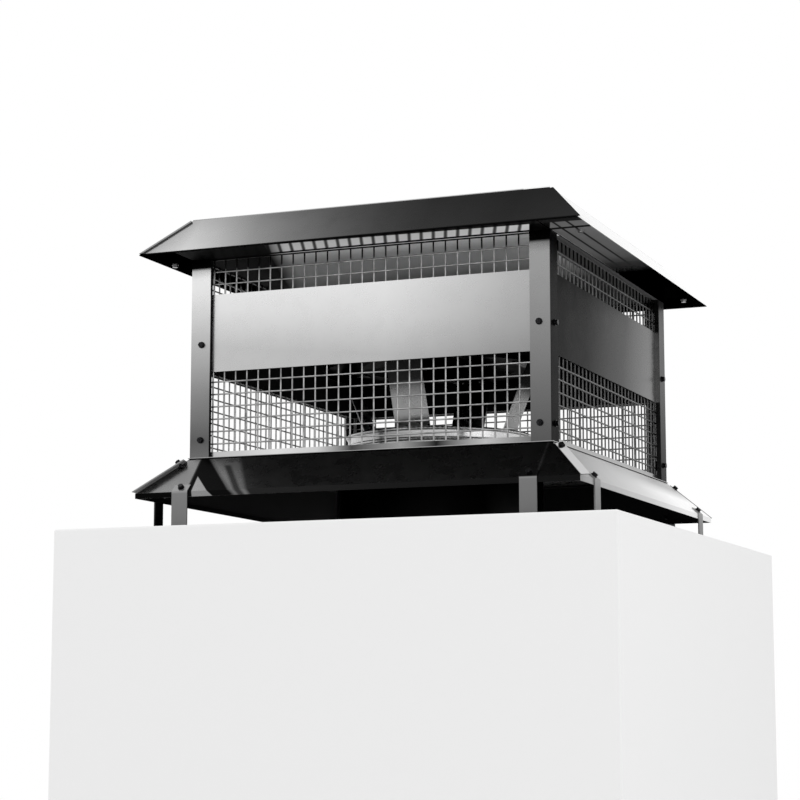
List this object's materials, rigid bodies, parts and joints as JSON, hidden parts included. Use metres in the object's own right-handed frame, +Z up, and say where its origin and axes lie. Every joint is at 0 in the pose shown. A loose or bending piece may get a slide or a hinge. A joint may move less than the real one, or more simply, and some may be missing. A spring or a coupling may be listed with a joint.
{
  "type": "chimney termination cap",
  "caption": "Square chimney termination cap: hipped flat-top roof, screened housing with wind bands, flared skirt on strap legs, flue collar and rain cap inside.",
  "frame": {"origin": "under the middle of the cap, in the plane its feet stand on", "axes": "+X to the right along the front, +Y from front to back, +Z up"},
  "size_m": [0.752, 0.79, 0.4864],
  "materials": {
    "roof_sheet": "bright rolled stainless sheet",
    "housing_sheet": "bright rolled stainless sheet",
    "post_sheet": "bright rolled stainless sheet",
    "screen_wire": "welded stainless wire",
    "skirt_sheet": "bright rolled stainless sheet",
    "leg_strap": "satin stainless strap",
    "flue_sheet": "bright rolled stainless sheet",
    "fastener": "dark coated steel"
  },
  "bodies": {
    "root": {"roof_top": "roof_sheet", "roof_soffit": "roof_sheet", "roof_panel_front": "roof_sheet", "roof_panel_right": "roof_sheet", "roof_panel_back": "roof_sheet", "roof_panel_left": "roof_sheet", "wind_band_front": "housing_sheet", "wind_band_right": "housing_sheet", "wind_band_back": "housing_sheet", "wind_band_left": "housing_sheet", "bottom_rail_front": "housing_sheet", "bottom_rail_right": "housing_sheet", "bottom_rail_back": "housing_sheet", "bottom_rail_left": "housing_sheet", "base_pan": "housing_sheet", "corner_post_front_right": "post_sheet", "corner_post_back_right": "post_sheet", "corner_post_back_left": "post_sheet", "corner_post_front_left": "post_sheet", "screen_lower_front": "screen_wire", "screen_lower_right": "screen_wire", "screen_lower_back": "screen_wire", "screen_lower_left": "screen_wire", "screen_upper_front": "screen_wire", "screen_upper_right": "screen_wire", "screen_upper_back": "screen_wire", "screen_upper_left": "screen_wire", "skirt_panel_front": "skirt_sheet", "skirt_panel_right": "skirt_sheet", "skirt_panel_back": "skirt_sheet", "skirt_panel_left": "skirt_sheet", "leg_front_left": "leg_strap", "leg_front_right": "leg_strap", "leg_right_left": "leg_strap", "leg_right_right": "leg_strap", "leg_back_left": "leg_strap", "leg_back_right": "leg_strap", "leg_left_left": "leg_strap", "leg_left_right": "leg_strap", "outer_pipe": "flue_sheet", "inner_flue": "flue_sheet", "flue_collar": "flue_sheet", "rain_cap": "flue_sheet", "cap_bracket_front": "flue_sheet", "cap_bracket_right": "flue_sheet", "cap_bracket_back": "flue_sheet", "cap_bracket_left": "flue_sheet", "flue_spacer_front_right": "flue_sheet", "flue_spacer_back_right": "flue_sheet", "flue_spacer_back_left": "flue_sheet", "flue_spacer_front_left": "flue_sheet", "post_screws": "fastener", "clip_nuts": "fastener", "rib_screws": "fastener", "leg_screws": "fastener", "soffit_screws": "fastener", "collar_rivets": "fastener", "bracket_rivets": "fastener"}
  },
  "joints": []
}
